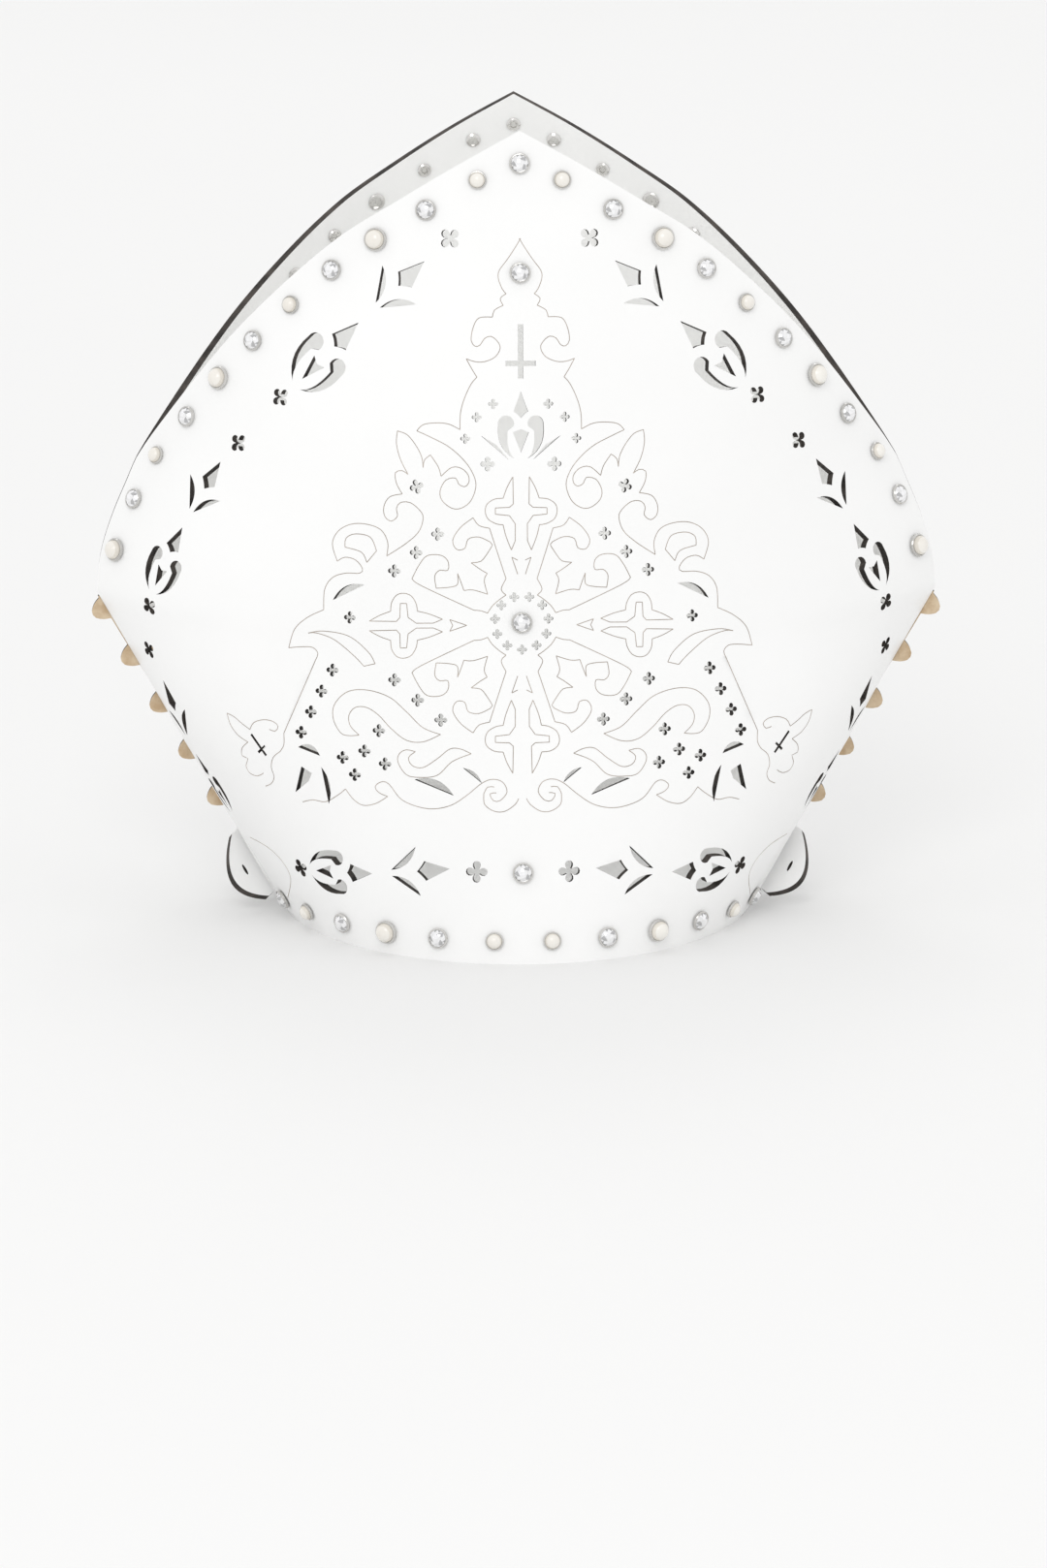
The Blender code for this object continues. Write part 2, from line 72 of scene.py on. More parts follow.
RIM_STUD_HEIGHT = 0.0085
RIM_STUD_GAP = 0.015
STONE_RADIUS = {"crystal": 0.0037, "small pearl": 0.0033, "large pearl": 0.0042}
RIVET_RADIUS = 0.0026
ORNAMENT_RISE = 0.0025
ORNAMENT_SPREAD = 0.97
QUATREFOIL = 0.0056
SPEAR_LENGTH = 0.0245
HEART_LENGTH = 0.0335
LILY_LENGTH = 0.025
CRESCENT_LENGTH = 0.0145
SLIVER_LENGTH = 0.009
CORNER_LENGTH = 0.014
CROSS = {"height": 0.0202, "width": 0.0112, "bar": 0.002, "arm_rise": 0.28}
SIDE_ROWS = [
    # up, across
    (0.00, 1.000), (0.08, 0.990), (0.16, 0.962), (0.25, 0.919), (0.34, 0.878), (0.67, 0.763), (1.00, 0.647),
]
EDGE_ROWS = [
    # up, across
    (0.00, 1.000), (0.05, 0.994), (0.14, 0.968), (0.25, 0.915), (0.34, 0.853), (0.54, 0.686),
    (0.67, 0.551), (0.78, 0.412), (0.85, 0.292), (0.93, 0.144), (1.00, 0.000),
]

# Form that the solids don't have, or have a little otherwise, in metres
SLOT_HALF_LENGTH = 0.0024
SLOT_HALF_WIDTH = 0.0007
POST_RADIUS = 0.0011
CUP_LIFT = 0.0002
SMALL_CROSS = {"height": 0.010, "width": 0.0045, "bar": 0.001, "arm_rise": 0.3}

# Fineness of the meshes, and the engraved lines
GRID_PITCH = 0.0042
STRIP_PITCH = 0.0022
FLAP_PITCH = 0.0015
ROW_RISE = 0.866
LEAST_MARGIN = 0.0012
CURVE_STEPS = 7
CUP_SIDES = 28
CAP_SIDES = 24
POST_SIDES = 12
LEATHER_SHARP_ANGLE = 40
STUD_SHARP_ANGLE = 35
LINE_WIDTH = 0.00030
LINE_DEPTH = 0.00030
STROKE_STEP = 3.0

# Light and floor of the studio
FLOOR_HALF_SIZE = 30.0
WORLD_STRENGTH = 0.95
LAMP_AIM = (0, 0, 0.12)
LAMPS = [
    # name, place, size, power
    ("key", (-0.5, -3.0, 2.4), 1.6, 25.0),
    ("top", (0.0, 2.2, 2.6), 1.6, 10.0),
]
INSIDE_LAMP = {"power": 0.08, "size": 0.04}

# Layers of points in a sheet of leather, and the places of its materials
OUTER, INNER, SUNK = range(3)
OUTER_LOOK, INNER_LOOK, CUT_LOOK, LINE_LOOK = range(4)

# Places of a stud's materials: a crystal's facets take the stone's place and the three after it, all tones of
# painted reflection; on a pearl the flank's place holds painted shade
CUP_LOOK, CAP_LOOK, STONE_LOOK, FLANK_PAINTED_LIGHT_LOOK = range(4)

# Looks of the leather and the studs
LOOKS = {
    # dark tone, light tone, scale of the mottling, roughness, relief, metallic
    "white leather": ((0.885, 0.885, 0.88), (0.915, 0.915, 0.91), 9.0, 0.38, 0.18, 0.0),
    "inner leather": ((0.90, 0.90, 0.89), (0.93, 0.93, 0.92), 30.0, 0.75, 0.4, 0.0),
    "burnt edge": ((0.018, 0.015, 0.013), (0.07, 0.058, 0.05), 160.0, 0.8, 0.5, 0.0),
    "engraved line": ((0.50, 0.44, 0.38), (0.66, 0.60, 0.54), 120.0, 0.8, 0.0, 0.0),
    "flesh side": ((0.50, 0.36, 0.22), (0.66, 0.53, 0.37), 220.0, 0.85, 0.8, 0.0),
    "steel cup": ((0.54, 0.53, 0.51), (0.68, 0.67, 0.65), 60.0, 0.2, 0.0, 1.0),
    "steel cap": ((0.66, 0.65, 0.63), (0.78, 0.77, 0.75), 60.0, 0.16, 0.0, 1.0),
    "pearl": ((0.80, 0.76, 0.70), (0.88, 0.86, 0.81), 70.0, 0.22, 0.0, 0.0),
    # The pearl's flank tone: its colour darkened, painted shade on the lower band of each dome
    "pearl painted shade": ((0.68, 0.64, 0.57), (0.78, 0.74, 0.67), 70.0, 0.22, 0.0, 0.0),
}
FLOOR_LOOK = ((0.835, 0.834, 0.830), (0.84, 0.839, 0.835), 2.0, 0.9, 0.0, 0.0)
# Brightness of each crystal facet, from white glint to near black: painted reflections, not the stone's own
# colour
CRYSTAL_PAINTED_REFLECTIONS = {"bright": 0.98, "clear": 0.88, "grey": 0.50, "deep": 0.12}
CRYSTAL_FINISH = (900.0, 0.06, 0.0, 0.75)
NOISE_DETAIL = 6.0
GRAIN_FINENESS = 14
GRAIN_HEIGHT = 0.00012

# The view: a long lens from above the rim, and the frame's 1080 by 1618 pixels
VIEW_RISE = math.radians(14.0)
VIEW_TURN = math.radians(-1.5)
VIEW_DISTANCE = 3.3
PIXEL = 0.00036
FRAME_MIDDLE = (540, 809)
FRAME_HEIGHT = 1618
AIM = Vector((0, -0.103, 0.0695))
SENSOR = 36.0

# Places where a motif is pierced, left half: across is a share of the wall's run to its edge
MOTIFS = [
    # kind, across, up, turn, scale
    ("quatrefoil", 0.400, 0.862, 45, 1.50), ("spear", 0.520, 0.806, -45, 1.00),
    ("heart", 0.640, 0.716, -43, 1.03), ("quatrefoil", 0.707, 0.659, 45, 1.35),
    ("quatrefoil", 0.750, 0.598, 50, 1.35), ("spear", 0.782, 0.541, -27, 0.92),
    ("heart", 0.828, 0.446, -23, 0.85), ("quatrefoil", 0.865, 0.385, 30, 1.30),
    ("quatrefoil", 0.925, 0.325, 30, 1.30), ("spear", 0.900, 0.254, 14, 0.95),
    ("heart", 0.885, 0.160, 20, 0.78),
    ("quatrefoil", 0.609, 0.080, 20, 1.35), ("heart", 0.475, 0.086, -84, 0.88),
    ("spear", 0.251, 0.100, -82, 0.95), ("quatrefoil", 0.111, 0.103, 0, 1.50),
    ("quatrefoil", 0.078, 0.665, 0, 0.70), ("quatrefoil", 0.121, 0.649, 0, 0.70),
    ("quatrefoil", 0.145, 0.623, 0, 0.70), ("quatrefoil", 0.082, 0.593, 0, 1.00),
    ("quatrefoil", 0.247, 0.564, 20, 1.00), ("crescent", 0.372, 0.433, 118, 0.95),
    ("quatrefoil", 0.366, 0.403, 0, 0.85), ("crescent", 0.200, 0.203, 70, 1.10),
    ("sliver", 0.112, 0.219, 52, 1.00), ("corner", 0.500, 0.207, 0, 1.00),
    ("quatrefoil", 0.316, 0.269, 0, 0.90), ("quatrefoil", 0.353, 0.243, 0, 0.90),
    ("quatrefoil", 0.406, 0.233, 0, 0.90), ("quatrefoil", 0.382, 0.213, 0, 0.90),
    ("quatrefoil", 0.308, 0.229, 0, 0.90),
]
QUATREFOIL_ROWS = [
    # count, from, to
    (3, (0.187, 0.508), (0.276, 0.462)),
    (3, (0.275, 0.331), (0.177, 0.285)),
    (4, (0.413, 0.338), (0.500, 0.259)),
]
CENTRE_CRYSTALS = (0.822, 0.403, 0.102)
CROSS_PLACE = 0.728
LILY_PLACE = 0.640
RING = {"count": 11, "radius": 0.0100, "size": 0.0039}
KITES = {
    # tip, shoulder, half width and base, in shares of the motif's length
    "lily": (1.00, 0.70, 0.11, 0.60), "spear": (1.00, 0.59, 0.16, 0.45), "heart": (1.00, 0.69, 0.12, 0.62),
}

# Engraved scrolls of the left half, in picture pixels; None parts one smooth stroke from the next
SCROLLS = [
    (537, 246), (531, 256), (523, 268), (515, 279), (514, 287), (518, 298), (522, 303), None, (522, 303),
    (516, 308), (519, 315), None, (519, 315), (510, 320), (508, 327), None, (508, 327), (494, 328),
    (488, 338), (486, 351), (490, 357), (495, 356), (500, 349), (506.5, 347), (513, 352), (516, 359),
    (511, 368), (500, 373), (490, 373), (481, 370), None, (481, 370), (487, 381), (492, 389), None,
    (492, 389), (486, 396), (479, 411), (475, 426), (474.5, 443), None, (474.5, 443), (462, 437),
    (447, 436), (436, 438), (430, 444), None, (430, 444), (445, 451), (462, 460), (476, 472), (486, 485),
    (491, 500), (486, 516), (476, 524), (466, 524), (456, 516), (454, 506), (460, 495), (470, 493),
    (473, 499), (479, 502), (483.5, 498), (483, 490), (476, 483), (466, 482), (455, 491), None,
    (455, 491), (452, 481), (444, 469), None, (444, 469), (438, 474), (436.5, 482), None, (436.5, 482),
    (435, 471), (429, 459), (420, 448), (410, 444), None, (410, 444), (409, 457), (413, 473), (421, 489),
    None, (421, 489), (415, 485), (408, 487), (409, 498), (415, 509), None, (415, 509), (402, 512),
    (396, 522), (397, 532), (403.5, 537), (410, 532), (409, 524), (413, 518), (423, 518), (433, 526),
    (436.5, 534), (432, 548), (419, 560), (399, 573), None, (399, 573), (400, 559), (393, 546),
    (378, 540), (362, 540), (349, 547), (343, 560), (348, 578), None, (348, 578), (356, 574), (367, 577),
    (374, 586), (371, 590.5), (356, 590.5), (343, 595), (335, 607), (334, 628), None, (334, 628),
    (317, 636), (304, 648), (298, 667), None, (298, 667), (312.5, 666), (323, 667), (328, 673),
    (326, 679), None, (326, 679), (293, 755), None, (293, 755), (293, 767), (289, 774), None,
    (312.5, 826), (323, 824), (336, 826), (349, 819), (356.5, 813), None, (356.5, 813), (365, 824),
    (375, 830), (388, 828), (400, 821), None, (400, 821), (391, 817), (387, 811), (393, 806), (401, 808),
    (414, 824), (432, 832), (449, 834), (466.5, 830), (482, 820), (497, 808), (508, 804), (518.5, 807),
    (523, 817), (516, 826), (509, 826), (505.5, 819), (512, 818), None, (499, 819), (500, 830),
    (510, 837), (521, 837), (531.5, 830), (535, 824), None, (499, 819), (503, 812), (510, 812), None,
    # band, two long scrolls and the drop in the upper curl
    (318, 652), (334, 650), (360, 655.5), (380, 672), (387, 684), None, (387, 684), (375.5, 686.5), None,
    (375.5, 686.5), (364.5, 675), (345, 659), (327, 652), (318, 652), None, (454.5, 757.5), (436, 750),
    (419, 733.5), (401.5, 718.5), (378, 711), (358, 713), (345, 726), (344, 741), (351.5, 755),
    (360, 758), (370.5, 757.5), None, (370.5, 757.5), (361.5, 748), (360, 737), (366.5, 729), (378, 729),
    (390.5, 737), (403.5, 751), (419, 763), (436, 765), (454.5, 757.5), None, (486, 777.5), (475, 772.5),
    (464, 772.5), (451, 782.5), (436, 791.5), (425, 789), (421.5, 781), (428.5, 775), None, (428.5, 775),
    (419, 773), (412, 777), (410.5, 785.5), (419, 798.5), (432, 801.5), (451, 799.5), (466.5, 785.5),
    (486, 777.5), None, (356, 563.5), (357, 554.5), (366.5, 550), (382, 553.5), (388.5, 567.5), None,
    (388.5, 567.5), (378.5, 579.5), None, (378.5, 579.5), (373, 569), (356, 563.5), None,
    # small leaf scroll at the side, and the edge of the folded leaf at the lower corner
    (234.5, 734), (242, 738), (250, 745), (258, 751), None, (258, 751), (262, 744), (272, 741),
    (282, 743), (287, 748), (284, 753), (278, 751), None, (234.5, 734), (238, 746), (246, 757),
    (256, 764), None, (256, 764), (250, 770), (250, 778), (256, 781), (254, 788), (258, 796), (266, 799),
    (272, 796), None, (289, 774), (282, 780), (280, 790), (283, 800), (280, 807), (274, 809.5), None,
    (258, 862), (277, 873), (292, 888), (300, 905), (297, 925),
]
# Picture pixel of the small tilted cross, and its turn in degrees
TILTED_CROSS = (267, 767)
TILTED_CROSS_TURN = 42
# One side of an arm of the central cross, in pixels out from the centre and across the arm
WHEEL_CENTRE = (534, 645)
ARM = [
    (153, 5), (142, 11), (131, 15), None, (131, 15), (130, 24), (125, 31.5), (117.5, 33.5), (109.5, 30.5),
    (104.5, 22), (103.5, 15), None, (103.5, 15), (91.5, 12), (77.5, 6.5), None, (77.5, 6.5), (87, 2.5),
    None, (87, 2.5), (104.5, 2.5), None, (104.5, 2.5), (113, 8.5), None, (113, 8.5), (114.5, 23), None,
    (114.5, 23), (121, 23), None, (121, 23), (121.5, 8.5), None, (121.5, 8.5), (125, 4.5), None,
    (125, 4.5), (153, 5), None, (52.5, 0), (70, 6), None, (70, 6), (67, 0),
]
# A quarter of the wheel between two arms, in pixels left of and above its centre
QUARTER = [
    (109, 48.5), (99, 41), (45, 15.5), None, (45, 15.5), (38, 15), (31, 12.5), None, (12, 48), (16, 60),
    (29, 100), None, (29, 100), (40, 103), (46, 111), None, (46, 111), (59, 101), (67, 88), (63, 78.5),
    (54.5, 79.5), (51, 89), (40, 91), (28.5, 86), None, (28.5, 86), (26, 83), (32, 73), None, (32, 73),
    (38, 66), (48, 64.5), None, (48, 64.5), (39, 58), (31.5, 53.5), None, (31.5, 53.5), (34.5, 46),
    (31, 32), None, (31, 32), (46, 36.5), (55.5, 36), None, (55.5, 36), (59, 46), (62, 53.5), None,
    (62, 53.5), (62, 42.5), (70, 39.5), (84, 38.5), None, (84, 38.5), (85.5, 51), (80.5, 57), (72, 57),
    (72, 66.5), (79.5, 72.5), (93.5, 72), (102, 62), (109, 48.5), None, (31, 12.5), (26, 20), (18, 27),
    (12, 31), None, (12, 31), (17, 37), (12, 48),
]


def along_rows(rows, up):
    """The second column of a table, on a smooth curve through its rows."""
    ups = [row[0] for row in rows]
    values = [row[1] for row in rows]
    up = min(max(up, ups[0]), ups[-1])
    i = min(sum(u < up for u in ups[1:]), len(rows) - 2)

    def slope(k):
        low, high = max(k - 1, 0), min(k + 1, len(rows) - 1)
        return (values[high] - values[low]) / (ups[high] - ups[low])

    span = ups[i + 1] - ups[i]
    t = (up - ups[i]) / span
    blend = t * t * (3 - 2 * t)
    rise = span * (slope(i) * t * (1 - t) ** 2 - slope(i + 1) * t * t * (1 - t))
    return values[i] + (values[i + 1] - values[i]) * blend + rise


def upper_share(z):
    """Height above the shoulders as a share of the way to the apex."""
    return (z - SHOULDER_HEIGHT) / (APEX_HEIGHT - SHOULDER_HEIGHT)


def half_depth(z):
    """Distance of the front wall's middle from the mitre's own middle, falling evenly to the apex."""
    return RIM_HALF_DEPTH + (APEX_HALF_DEPTH - RIM_HALF_DEPTH) * z / APEX_HEIGHT


def half_width(z):
    """Half of the body's width at a height."""
    if z <= SHOULDER_HEIGHT:
        return RIM_HALF_WIDTH + (SHOULDER_HALF_WIDTH - RIM_HALF_WIDTH) * z / SHOULDER_HEIGHT
    return SHOULDER_HALF_WIDTH * along_rows(SIDE_ROWS, upper_share(z))


def section(z, steps=240):
    """Half of the front wall's level section."""
    width, depth = half_width(z), half_depth(z)
    rise = min(max(2 * z / SHOULDER_HEIGHT - 1, 0), 1)
    rise = rise * rise * (3 - 2 * rise)
    angle = math.pi / 2 + (2 * math.atan2(depth, width) - math.pi / 2) * rise
    t = np.linspace(0, 1, steps + 1)
    start, middle, end = (1 - t) ** 2, 2 * t * (1 - t) * math.cos(angle / 2), t * t
    weight = start + middle + end
    x = (middle * (width - depth / math.tan(angle)) + end * width) / weight
    y = -depth * (start + middle) / weight
    run = np.concatenate([[0], np.cumsum(np.hypot(np.diff(x), np.diff(y)))])
    return x, y, run


def wall_point(s, z):
    """Point of the front wall's outer face, s along the level section from the centre line."""
    x, y, run = section(z)
    return Vector((math.copysign(np.interp(abs(s), run, x), s), np.interp(abs(s), run, y), z))


def wall_frame(s, z, step=0.0015):
    """Unit vectors along the section and up the wall, the inward normal, and the lean of s and z."""
    side = (wall_point(s + step, z) - wall_point(s - step, z)).normalized()
    low = max(z - step, 0)
    climb = (wall_point(s, low + 2 * step) - wall_point(s, low)) / (2 * step)
    lean = climb.dot(side)
    up = climb - side * lean
    return side, up.normalized(), up.normalized().cross(side), lean, up.length


def on_wall(centre, points, turn=0.0):
    """Turn a flat outline and lay it on the wall round a centre, as (s, z) pairs."""
    _, _, _, lean, climb = wall_frame(*centre)
    cos, sin = math.cos(turn), math.sin(turn)
    out = []
    for x, y in points:
        across, up = x * cos - y * sin, x * sin + y * cos
        out.append((centre[0] + across - up * lean / climb, centre[1] + up / climb))
    return out


def seam_run(z):
    """Length of the wall's level section from the centre line to the side seam."""
    _, y, run = section(z)
    return float(np.interp(-STRIP_THICKNESS / 2 - CLEARANCE, y, run))


def edge_run(z):
    """Length of the wall's level section from the centre line to the panel's edge."""
    if z <= SHOULDER_HEIGHT:
        return seam_run(z)
    x, _, run = section(z)
    edge = SHOULDER_HALF_WIDTH * along_rows(EDGE_ROWS, upper_share(z))
    return min(float(np.interp(edge, x, run)), seam_run(z))


def place(across, up):
    """The (s, z) of a place given in shares of the wall, on the left half."""
    z = up * APEX_HEIGHT + ORNAMENT_RISE
    return -across * ORNAMENT_SPREAD * edge_run(z), z


def seen_at(px, py):
    """Where a picture point of the left half falls on the wall, as (s, z)."""
    across, rise = (px - FRAME_MIDDLE[0]) * PIXEL, (FRAME_MIDDLE[1] - py) * PIXEL
    z = AIM.z + rise
    x = across
    for _ in range(8):
        xs, ys, run = section(min(max(z, 0), APEX_HEIGHT))
        s = math.copysign(np.interp(abs(x), xs, run), x)
        y = np.interp(abs(x), xs, ys)
        behind = (y - AIM.y) * math.cos(VIEW_RISE) - (z - AIM.z) * math.sin(VIEW_RISE)
        wide = 1 + behind / VIEW_DISTANCE
        x = (across * wide - (y - AIM.y) * math.sin(VIEW_TURN)) / math.cos(VIEW_TURN)
        z = AIM.z + (rise * wide - (y - AIM.y) * math.sin(VIEW_RISE)) / math.cos(VIEW_RISE)
    return s, z


def bend(start, pull, end, steps=CURVE_STEPS):
    """Points of a curve that a middle point pulls, without its last point."""
    out = []
    for i in range(steps):
        t = i / steps
        out.append(tuple((1 - t) ** 2 * a + 2 * t * (1 - t) * b + t * t * c
                         for a, b, c in zip(start, pull, end)))
    return out


def smooth(points, step):
    """A smooth stroke through given points, with a point every step or so."""
    if len(points) == 2:
        return points
    ends = [points[0]] + points + [points[-1]]
    out = []
    for a, b, c, d in zip(ends, ends[1:], ends[2:], ends[3:]):
        count = max(1, round(math.dist(b, c) / step))
        for i in range(count):
            t = i / count
            out.append(tuple(0.5 * (2 * q + (r - p) * t + (2 * p - 5 * q + 4 * r - u) * t * t
                                    + (3 * q - p - 3 * r + u) * t ** 3)
                             for p, q, r, u in zip(a, b, c, d)))
    return out + [points[-1]]


def quatrefoil(size):
    """Four rounded leaves round a waist."""
    reach, leaf, waist = size * 0.30, size * 0.185, size * 0.15
    out = []
    for k in range(4):
        turn = math.pi / 2 * k
        cx, cy = reach * math.cos(turn), reach * math.sin(turn)
        for a in np.linspace(-1.9, 1.9, 7):
            out.append((cx + leaf * math.cos(turn + a), cy + leaf * math.sin(turn + a)))
        out.append((waist * math.cos(turn + math.pi / 4), waist * math.sin(turn + math.pi / 4)))
    return out


def kite(shares, length):
    """A blade with a point above and curved flanks to its base."""
    tip, shoulder, half, base = [share * length for share in shares]
    dip = (shoulder + base) / 2 + 0.02 * length
    points = [(0, tip)] + bend((-half, shoulder), (-half * 0.5, dip), (0, base))
    return points + bend((0, base), (half * 0.5, dip), (half, shoulder)) + [(half, shoulder)]


def crescent(start, end, bulge):
    """A straight side closed by one bulging curve."""
    across = (end[1] - start[1], start[0] - end[0])
    middle = [(a + b) / 2 + 2 * bulge * c for a, b, c in zip(start, end, across)]
    return [start] + bend(end, middle, start, 2 * CURVE_STEPS)


def comma(length, side, head=(0.193, 0.49), radius=0.10, tail=(0.065, 0.0)):
    """A round head with a curved tail, to the right for a side of 1 and to the left for -1."""
    points = [(head[0] + radius * math.cos(a), head[1] + radius * math.sin(a))
              for a in np.linspace(0.2, math.pi * 1.1, 9)]
    points += bend((head[0] - 0.2 * radius, head[1] - 0.9 * radius), (head[0], 0.2 * head[1]), tail)
    points += bend(tail, (head[0] + 1.3 * radius, 0.28 * head[1]), (head[0] + radius, head[1] - 0.02))
    points = [(side * x * length, y * length) for x, y in points]
    return points if side > 0 else points[::-1]


def scaled(points, size):
    return [(x * size, y * size) for x, y in points]


def motif(kind, scale):
    """The outlines cut through the leather for one motif, upright and round its own centre."""
    if kind == "quatrefoil":
        return [quatrefoil(QUATREFOIL * scale)]
    if kind == "crescent":
        return [scaled(crescent((0, -0.5), (0, 0.5), 0.19), CRESCENT_LENGTH * scale)]
    if kind == "sliver":
        return [scaled(crescent((0, -0.5), (0, 0.5), 0.16), SLIVER_LENGTH * scale)]
    if kind == "corner":
        parts = [crescent((0.36, 0.55), (-0.30, 0.72), 0.28), crescent((0.62, -0.75), (0.40, 0.25), 0.15),
                 [(-0.20, 0.20), (0.12, 0.05), (0.02, -0.18), (-0.42, -0.55)]]
        return [scaled(part, CORNER_LENGTH) for part in parts]
    if kind == "spear":
        size = SPEAR_LENGTH * scale
        parts = [kite(KITES["spear"], size), scaled(crescent((0.05, 0.01), (0.40, 0.47), -0.18), size),
                 scaled(crescent((-0.40, 0.47), (-0.05, 0.01), -0.18), size)]
    elif kind == "heart":
        size = HEART_LENGTH * scale
        parts = [kite(KITES["heart"], size), comma(size, 1), comma(size, -1),
                 scaled([(0, 0.10), (0.09, 0.38), (0, 0.34), (-0.09, 0.38)], size)]
    else:
        size = LILY_LENGTH * scale
        head = {"head": (0.22, 0.52), "radius": 0.12, "tail": (0.10, 0.0)}
        parts = [kite(KITES["lily"], size), comma(size, 1, **head), comma(size, -1, **head),
                 scaled([(0, 0.087), (0.12, 0.39), (0, 0.437), (-0.12, 0.39)], size)]
        leaf = [(0.18, -0.02), (0.36, 0.20), (0.60, 0.34), (0.40, 0.17)]
        parts += [scaled([(side * x, y) for x, y in leaf], size) for side in (1, -1)]
    return [[(x, y - size / 2) for x, y in points] for points in parts]


def cross(height, width, bar, arm_rise):
    """A plain cross round its own middle, its arms at a share of its height."""
    top, reach, thick = height / 2, width / 2, bar / 2
    arm = -top + height * arm_rise
    return [(-thick, top), (-thick, arm + thick), (-reach, arm + thick), (-reach, arm - thick),
            (-thick, arm - thick), (-thick, -top), (thick, -top), (thick, arm - thick),
            (reach, arm - thick), (reach, arm + thick), (thick, arm + thick), (thick, top)]


def mirrored(loop):
    """The same outline on the other half, in the same sense of turn."""
    return [(-s, z) for s, z in reversed(loop)]


def ornament():
    """Every outline pierced through the front panel."""
    rows = list(MOTIFS)
    for count, start, end in QUATREFOIL_ROWS:
        for i in range(count):
            across, up = [a + (b - a) * i / (count - 1) for a, b in zip(start, end)]
            rows.append(("quatrefoil", across, up, 0, 0.9))
    loops = []
    for kind, across, up, turn, scale in rows:
        for outline in motif(kind, scale):
            left = on_wall(place(across, up), outline, math.radians(turn))
            loops += [left, mirrored(left)]
    tilted = on_wall(seen_at(*TILTED_CROSS), cross(**SMALL_CROSS), math.radians(TILTED_CROSS_TURN))
    loops += [tilted, mirrored(tilted)]
    loops.append(on_wall(place(0, CROSS_PLACE), cross(**CROSS)))
    loops += [on_wall(place(0, LILY_PLACE), outline) for outline in motif("lily", 1)]
    for k in range(RING["count"]):
        turn = 2 * math.pi * k / RING["count"] - math.pi / 2
        spot = [(RING["radius"] * math.cos(turn) + x, RING["radius"] * math.sin(turn) + y)
                for x, y in quatrefoil(RING["size"])]
        loops.append(on_wall(place(0, CENTRE_CRYSTALS[1]), spot))
    return loops


def split(points):
    """The strokes of a table, parted where it holds None."""
    strokes = [[]]
    for point in points:
        if point is None:
            strokes.append([])
        else:
            strokes[-1].append(point)
    return strokes


def ribbon(stroke):
    """A closed outline of the line's width along a stroke of (s, z) points."""
    left, right = [], []
    for i, here in enumerate(stroke):
        before, after = stroke[max(i - 1, 0)], stroke[min(i + 1, len(stroke) - 1)]
        way = Vector((after[0] - before[0], after[1] - before[1])).normalized() * (LINE_WIDTH / 2)
        left.append((here[0] - way.y, here[1] + way.x))
        right.append((here[0] + way.y, here[1] - way.x))
    return left + right[::-1]


def engraving():
    """Outlines of all the engraved lines, both halves."""
    strokes = [[seen_at(x, y) for x, y in smooth(stroke, STROKE_STEP)] for stroke in split(SCROLLS)]
    column, row = WHEEL_CENTRE
    for stroke in split(QUARTER):
        fine = smooth(stroke, STROKE_STEP)
        strokes += [[seen_at(column - x, row - flip * y) for x, y in fine] for flip in (1, -1)]
    for stroke in split(ARM):
        fine = smooth(stroke, STROKE_STEP)
        strokes += [[seen_at(column - out, row - flip * across) for out, across in fine] for flip in (1, -1)]
        strokes += [[seen_at(column - across, row - flip * out) for out, across in fine] for flip in (1, -1)]
    loops = []
    for stroke in strokes:
        left = ribbon(stroke)
        loops += [left, mirrored(left)]
    return loops


def inside(points, loop):
    """Which of the points lie inside a closed outline."""
    loop = np.array(loop)
    low, high = loop.min(0), loop.max(0)
    near = np.where((points >= low).all(1) & (points <= high).all(1))[0]
    hit = np.zeros(len(points), bool)
    x, y = points[near, 0], points[near, 1]
    odd = np.zeros(len(near), bool)
    for (x0, y0), (x1, y1) in zip(loop, np.roll(loop, -1, 0)):
        if y0 != y1:
            odd ^= ((y0 > y) != (y1 > y)) & (x < (x1 - x0) * (y - y0) / (y1 - y0) + x0)
    hit[near] = odd
    return hit


def flat_triangles(outline, holes, lines, pitch):
    """Flat points, triangles and which of them lie in a line, with the holes left open."""
    points, edges = [], []
    for loop in [outline] + holes + lines:
        first = len(points)
        points += [tuple(p) for p in loop]
        edges += [(first + i, first + (i + 1) % len(loop)) for i in range(len(loop))]
    tree = kdtree.KDTree(len(points))
    for i, (x, y) in enumerate(points):
        tree.insert((x, y, 0), i)
    tree.balance()
    low, high = np.array(outline).min(0), np.array(outline).max(0)
    columns, rows = int((high[0] - low[0]) / pitch), int((high[1] - low[1]) / (pitch * ROW_RISE))
    grid = np.array([(low[0] + (i + 0.5 * (j % 2)) * pitch, low[1] + j * pitch * ROW_RISE)
                     for j in range(rows + 1) for i in range(columns + 1)])
    grid = grid[inside(grid, outline)]
    for hole in holes:
        grid = grid[~inside(grid, hole)]
    margin = min(LEAST_MARGIN, pitch * 0.5)
    points += [tuple(p) for p in grid if tree.find((p[0], p[1], 0))[2] > margin]
    flat, _, faces, _, _, _ = delaunay_2d_cdt([Vector(p) for p in points], edges, [], 0, 1e-7)
    flat = np.array([tuple(p) for p in flat])
    faces = np.array([list(face) for face in faces])
    middles = flat[faces].mean(1)
    keep = inside(middles, outline)
    for hole in holes:
        keep &= ~inside(middles, hole)
    engraved = np.zeros(len(faces), bool)
    for line in lines:
        engraved |= inside(middles, line)
    return flat, faces[keep], engraved[keep]


